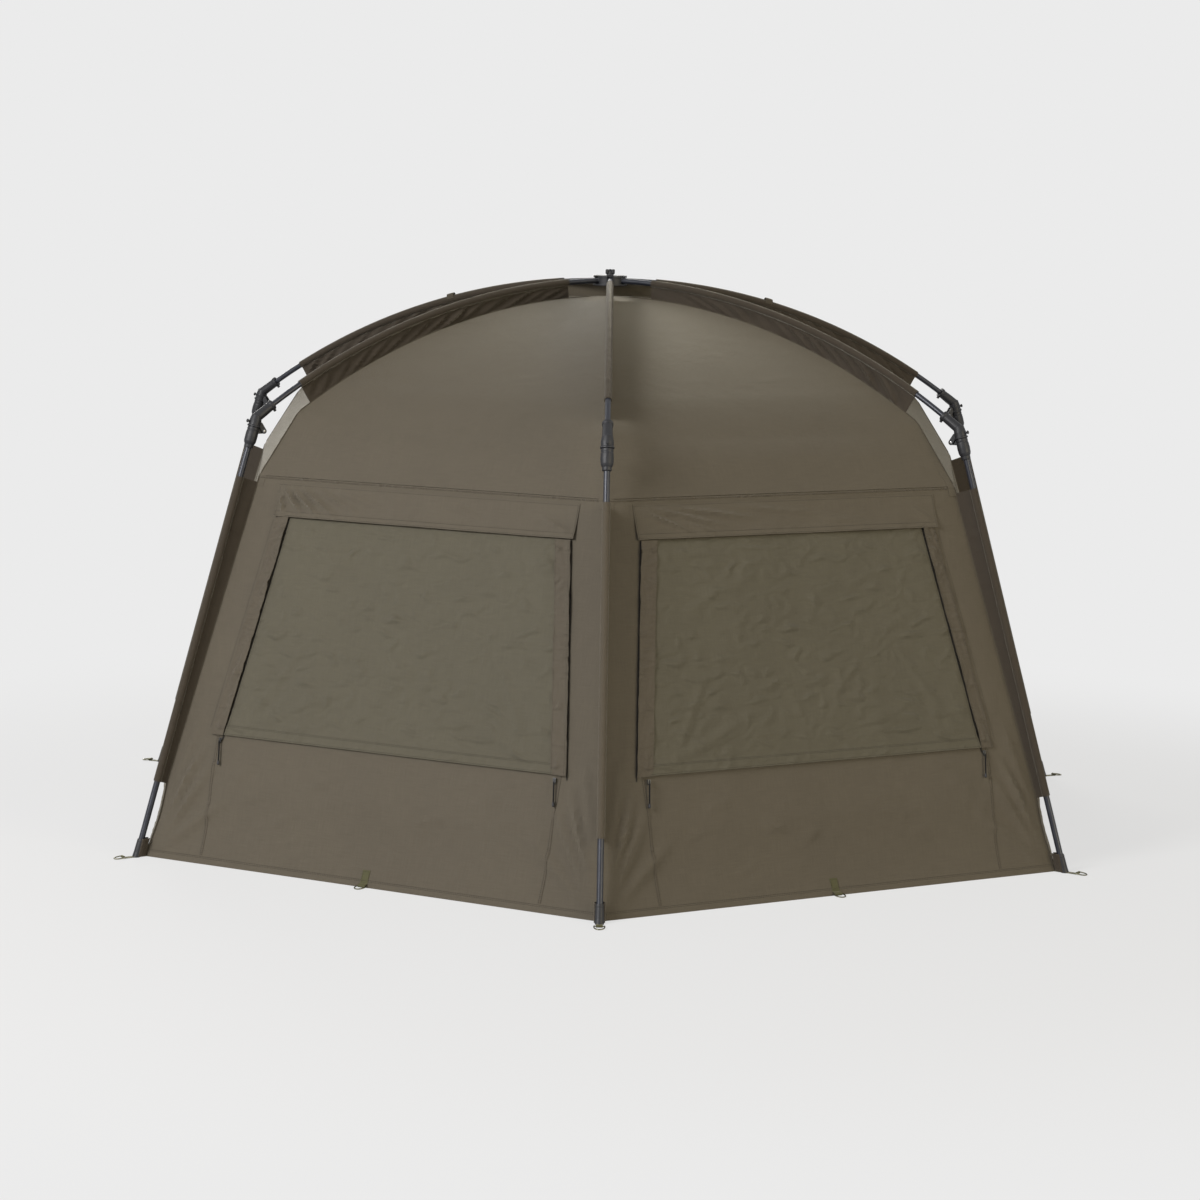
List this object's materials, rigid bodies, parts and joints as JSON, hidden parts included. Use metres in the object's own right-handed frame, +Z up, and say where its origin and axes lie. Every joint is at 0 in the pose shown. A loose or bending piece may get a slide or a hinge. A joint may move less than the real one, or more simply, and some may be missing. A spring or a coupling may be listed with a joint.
{
  "type": "bivvy tent",
  "caption": "Pop-up fishing shelter: hub and hinged-pole frame with a fabric canopy hung inside it, zipped rear window covers, a lifting door and peg rings.",
  "frame": {"origin": "on the ground under the middle of the footprint's bounding box", "axes": "+Z up, the rear leg points to -Y, the door faces +Y, +X to the right seen from the rear"},
  "size_m": [2.4682, 1.8372, 1.3453],
  "materials": {
    "charcoal_plastic": "moulded, lightly grained",
    "coated_pole": "dark blue-grey coated tube",
    "canopy_fabric": "grey-brown coated polyester, plain weave",
    "sleeve_fabric": "dark brown polyester",
    "cover_fabric": "olive polyester, softly creased",
    "zip_black": "black moulded slider with cord pull",
    "ring_steel": "bare wire"
  },
  "bodies": {
    "root": {"hub_base": "charcoal_plastic", "hub_top": "charcoal_plastic", "hub_knob": "charcoal_plastic", "canopy_roof": "canopy_fabric", "wall_rear_left": "canopy_fabric", "wall_rear_right": "canopy_fabric", "wall_side_left": "canopy_fabric", "wall_side_right": "canopy_fabric", "wall_front": "canopy_fabric"},
    "upper_leg_rear": {"upper_pole_rear": "coated_pole", "elbow_upper_rear": "charcoal_plastic", "upper_sleeve_rear": "sleeve_fabric"},
    "lower_leg_rear": {"elbow_lower_rear": "charcoal_plastic", "lower_pole_rear": "coated_pole", "lower_sleeve_rear": "sleeve_fabric"},
    "button_rear": {"release_button_rear": "charcoal_plastic"},
    "foot_ring_rear": {"peg_ring_rear": "ring_steel"},
    "upper_leg_mid_left": {"upper_pole_mid_left": "coated_pole", "elbow_upper_mid_left": "charcoal_plastic", "upper_sleeve_mid_left": "sleeve_fabric"},
    "lower_leg_mid_left": {"elbow_lower_mid_left": "charcoal_plastic", "lower_pole_mid_left": "coated_pole", "lower_sleeve_mid_left": "sleeve_fabric"},
    "button_mid_left": {"release_button_mid_left": "charcoal_plastic"},
    "foot_ring_mid_left": {"peg_ring_mid_left": "ring_steel"},
    "upper_leg_mid_right": {"upper_pole_mid_right": "coated_pole", "elbow_upper_mid_right": "charcoal_plastic", "upper_sleeve_mid_right": "sleeve_fabric"},
    "lower_leg_mid_right": {"elbow_lower_mid_right": "charcoal_plastic", "lower_pole_mid_right": "coated_pole", "lower_sleeve_mid_right": "sleeve_fabric"},
    "button_mid_right": {"release_button_mid_right": "charcoal_plastic"},
    "foot_ring_mid_right": {"peg_ring_mid_right": "ring_steel"},
    "upper_leg_front_left": {"upper_pole_front_left": "coated_pole", "elbow_upper_front_left": "charcoal_plastic", "upper_sleeve_front_left": "sleeve_fabric"},
    "lower_leg_front_left": {"elbow_lower_front_left": "charcoal_plastic", "lower_pole_front_left": "coated_pole", "lower_sleeve_front_left": "sleeve_fabric"},
    "button_front_left": {"release_button_front_left": "charcoal_plastic"},
    "foot_ring_front_left": {"peg_ring_front_left": "ring_steel"},
    "upper_leg_front_right": {"upper_pole_front_right": "coated_pole", "elbow_upper_front_right": "charcoal_plastic", "upper_sleeve_front_right": "sleeve_fabric"},
    "lower_leg_front_right": {"elbow_lower_front_right": "charcoal_plastic", "lower_pole_front_right": "coated_pole", "lower_sleeve_front_right": "sleeve_fabric"},
    "button_front_right": {"release_button_front_right": "charcoal_plastic"},
    "foot_ring_front_right": {"peg_ring_front_right": "ring_steel"},
    "cover_rear_left": {"window_cover_rear_left": "cover_fabric"},
    "slider_rear_left_a": {"zip_slider_rear_left_a": "zip_black"},
    "slider_rear_left_b": {"zip_slider_rear_left_b": "zip_black"},
    "hem_ring_rear_left": {"peg_ring_rear_left": "ring_steel"},
    "cover_rear_right": {"window_cover_rear_right": "cover_fabric"},
    "slider_rear_right_a": {"zip_slider_rear_right_a": "zip_black"},
    "slider_rear_right_b": {"zip_slider_rear_right_b": "zip_black"},
    "hem_ring_rear_right": {"peg_ring_rear_right": "ring_steel"},
    "door": {"door": "canopy_fabric"},
    "door_slider_a": {"door_slider_a": "zip_black"},
    "door_slider_b": {"door_slider_b": "zip_black"}
  },
  "joints": [
    {"name": "hub_hinge_rear", "type": "hinge", "parent": "root", "child": "upper_leg_rear", "pos_m": [0, 0.38313, 1.317], "axis": [-1, 0, 0], "range_deg": [0, 95], "deforming": ["canopy_roof", "wall_rear_left", "wall_rear_right", "wall_side_left", "wall_side_right", "wall_front", "window_cover_rear_left", "window_cover_rear_right", "door"]},
    {"name": "elbow_rear", "type": "hinge", "parent": "upper_leg_rear", "child": "lower_leg_rear", "pos_m": [0, -0.53967, 0.97235], "axis": [1, 0, 0], "range_deg": [0, 118.75]},
    {"name": "release_rear", "type": "slide", "parent": "upper_leg_rear", "child": "button_rear", "axis": [0, 0.9569, -0.2904], "range_m": [0, 0.0035], "stiffness_N_per_m": 300, "springref_m": -0.002},
    {"name": "foot_ring_swing_rear", "type": "hinge", "parent": "lower_leg_rear", "child": "foot_ring_rear", "pos_m": [0, -0.89487, 0.0034], "axis": [-1, 0, 0], "range_deg": [0, 85]},
    {"name": "hub_hinge_mid_left", "type": "hinge", "parent": "root", "child": "upper_leg_mid_left", "pos_m": [-0.02676, 0.39759, 1.317], "axis": [-0.5481, 0.8364, 0], "range_deg": [0, 95]},
    {"name": "elbow_mid_left", "type": "hinge", "parent": "upper_leg_mid_left", "child": "lower_leg_mid_left", "pos_m": [-0.79858, -0.10824, 0.97235], "axis": [0.5481, -0.8364, 0], "range_deg": [0, 118.75]},
    {"name": "release_mid_left", "type": "slide", "parent": "upper_leg_mid_left", "child": "button_mid_left", "axis": [0.8003, 0.5245, -0.2904], "range_m": [0, 0.0035], "stiffness_N_per_m": 300, "springref_m": -0.002},
    {"name": "foot_ring_swing_mid_left", "type": "hinge", "parent": "lower_leg_mid_left", "child": "foot_ring_mid_left", "pos_m": [-1.09566, -0.30294, 0.0034], "axis": [-0.5481, 0.8364, 0], "range_deg": [0, 85]},
    {"name": "hub_hinge_mid_right", "type": "hinge", "parent": "root", "child": "upper_leg_mid_right", "pos_m": [0.02676, 0.39759, 1.317], "axis": [-0.5481, -0.8364, 0], "range_deg": [0, 95]},
    {"name": "elbow_mid_right", "type": "hinge", "parent": "upper_leg_mid_right", "child": "lower_leg_mid_right", "pos_m": [0.79858, -0.10824, 0.97235], "axis": [0.5481, 0.8364, 0], "range_deg": [0, 118.75]},
    {"name": "release_mid_right", "type": "slide", "parent": "upper_leg_mid_right", "child": "button_mid_right", "axis": [-0.8003, 0.5245, -0.2904], "range_m": [0, 0.0035], "stiffness_N_per_m": 300, "springref_m": -0.002},
    {"name": "foot_ring_swing_mid_right", "type": "hinge", "parent": "lower_leg_mid_right", "child": "foot_ring_mid_right", "pos_m": [1.09566, -0.30294, 0.0034], "axis": [-0.5481, -0.8364, 0], "range_deg": [0, 85]},
    {"name": "hub_hinge_front_left", "type": "hinge", "parent": "root", "child": "upper_leg_front_left", "pos_m": [-0.02966, 0.42716, 1.317], "axis": [0.3757, 0.9267, 0], "range_deg": [0, 95]},
    {"name": "elbow_front_left", "type": "hinge", "parent": "upper_leg_front_left", "child": "lower_leg_front_left", "pos_m": [-0.88484, 0.77389, 0.97235], "axis": [-0.3757, -0.9267, 0], "range_deg": [0, 118.75]},
    {"name": "release_front_left", "type": "slide", "parent": "upper_leg_front_left", "child": "button_front_left", "axis": [0.8868, -0.3595, -0.2904], "range_m": [0, 0.0035], "stiffness_N_per_m": 300, "springref_m": -0.002},
    {"name": "foot_ring_swing_front_left", "type": "hinge", "parent": "lower_leg_front_left", "child": "foot_ring_front_left", "pos_m": [-1.21401, 0.90735, 0.0034], "axis": [0.3757, 0.9267, 0], "range_deg": [0, 85]},
    {"name": "hub_hinge_front_right", "type": "hinge", "parent": "root", "child": "upper_leg_front_right", "pos_m": [0.02966, 0.42716, 1.317], "axis": [0.3757, -0.9267, 0], "range_deg": [0, 95]},
    {"name": "elbow_front_right", "type": "hinge", "parent": "upper_leg_front_right", "child": "lower_leg_front_right", "pos_m": [0.88484, 0.77389, 0.97235], "axis": [-0.3757, 0.9267, 0], "range_deg": [0, 118.75]},
    {"name": "release_front_right", "type": "slide", "parent": "upper_leg_front_right", "child": "button_front_right", "axis": [-0.8868, -0.3595, -0.2904], "range_m": [0, 0.0035], "stiffness_N_per_m": 300, "springref_m": -0.002},
    {"name": "foot_ring_swing_front_right", "type": "hinge", "parent": "lower_leg_front_right", "child": "foot_ring_front_right", "pos_m": [1.21401, 0.90735, 0.0034], "axis": [0.3757, -0.9267, 0], "range_deg": [0, 85]},
    {"name": "cover_lift_rear_left", "type": "hinge", "parent": "lower_leg_rear", "child": "cover_rear_left", "pos_m": [-0.41603, -0.35495, 0.7785], "axis": [-0.8798, 0.4753, 0], "range_deg": [0, 120]},
    {"name": "zip_rear_left_a", "type": "slide", "parent": "lower_leg_rear", "child": "slider_rear_left_a", "axis": [0.2678, 0.1755, 0.9474], "range_m": [0, 0.46]},
    {"name": "zip_rear_left_b", "type": "slide", "parent": "lower_leg_rear", "child": "slider_rear_left_b", "axis": [0, 0.3202, 0.9474], "range_m": [0, 0.46]},
    {"name": "hem_ring_swing_rear_left", "type": "hinge", "parent": "lower_leg_rear", "child": "hem_ring_rear_left", "pos_m": [-0.52701, -0.56036, 0.0034], "axis": [-0.8798, 0.4753, 0], "range_deg": [0, 70]},
    {"name": "cover_lift_rear_right", "type": "hinge", "parent": "lower_leg_mid_right", "child": "cover_rear_right", "pos_m": [0.41603, -0.35495, 0.7785], "axis": [-0.8798, -0.4753, 0], "range_deg": [0, 120]},
    {"name": "zip_rear_right_a", "type": "slide", "parent": "lower_leg_mid_right", "child": "slider_rear_right_a", "axis": [0, 0.3202, 0.9474], "range_m": [0, 0.46]},
    {"name": "zip_rear_right_b", "type": "slide", "parent": "lower_leg_mid_right", "child": "slider_rear_right_b", "axis": [-0.2678, 0.1755, 0.9474], "range_m": [0, 0.46]},
    {"name": "hem_ring_swing_rear_right", "type": "hinge", "parent": "lower_leg_mid_right", "child": "hem_ring_rear_right", "pos_m": [0.52701, -0.56036, 0.0034], "axis": [-0.8798, -0.4753, 0], "range_deg": [0, 70]},
    {"name": "door_lift", "type": "hinge", "parent": "lower_leg_front_left", "child": "door", "pos_m": [0, 0.78687, 0.789], "axis": [1, 0, 0], "range_deg": [0, 120]},
    {"name": "door_zip_a", "type": "slide", "parent": "lower_leg_front_left", "child": "door_slider_a", "axis": [-0.1611, -0.1243, 0.9791], "range_m": [0, 0.66]},
    {"name": "door_zip_b", "type": "slide", "parent": "lower_leg_front_left", "child": "door_slider_b", "axis": [0.1611, -0.1243, 0.9791], "range_m": [0, 0.66]}
  ],
  "couplings": [
    {"joint": "elbow_rear", "follows": "hub_hinge_rear", "ratio": 1.25},
    {"joint": "hub_hinge_mid_left", "follows": "hub_hinge_rear", "ratio": 1},
    {"joint": "elbow_mid_left", "follows": "hub_hinge_rear", "ratio": 1.25},
    {"joint": "hub_hinge_mid_right", "follows": "hub_hinge_rear", "ratio": 1},
    {"joint": "elbow_mid_right", "follows": "hub_hinge_rear", "ratio": 1.25},
    {"joint": "hub_hinge_front_left", "follows": "hub_hinge_rear", "ratio": 1},
    {"joint": "elbow_front_left", "follows": "hub_hinge_rear", "ratio": 1.25},
    {"joint": "hub_hinge_front_right", "follows": "hub_hinge_rear", "ratio": 1},
    {"joint": "elbow_front_right", "follows": "hub_hinge_rear", "ratio": 1.25}
  ]
}
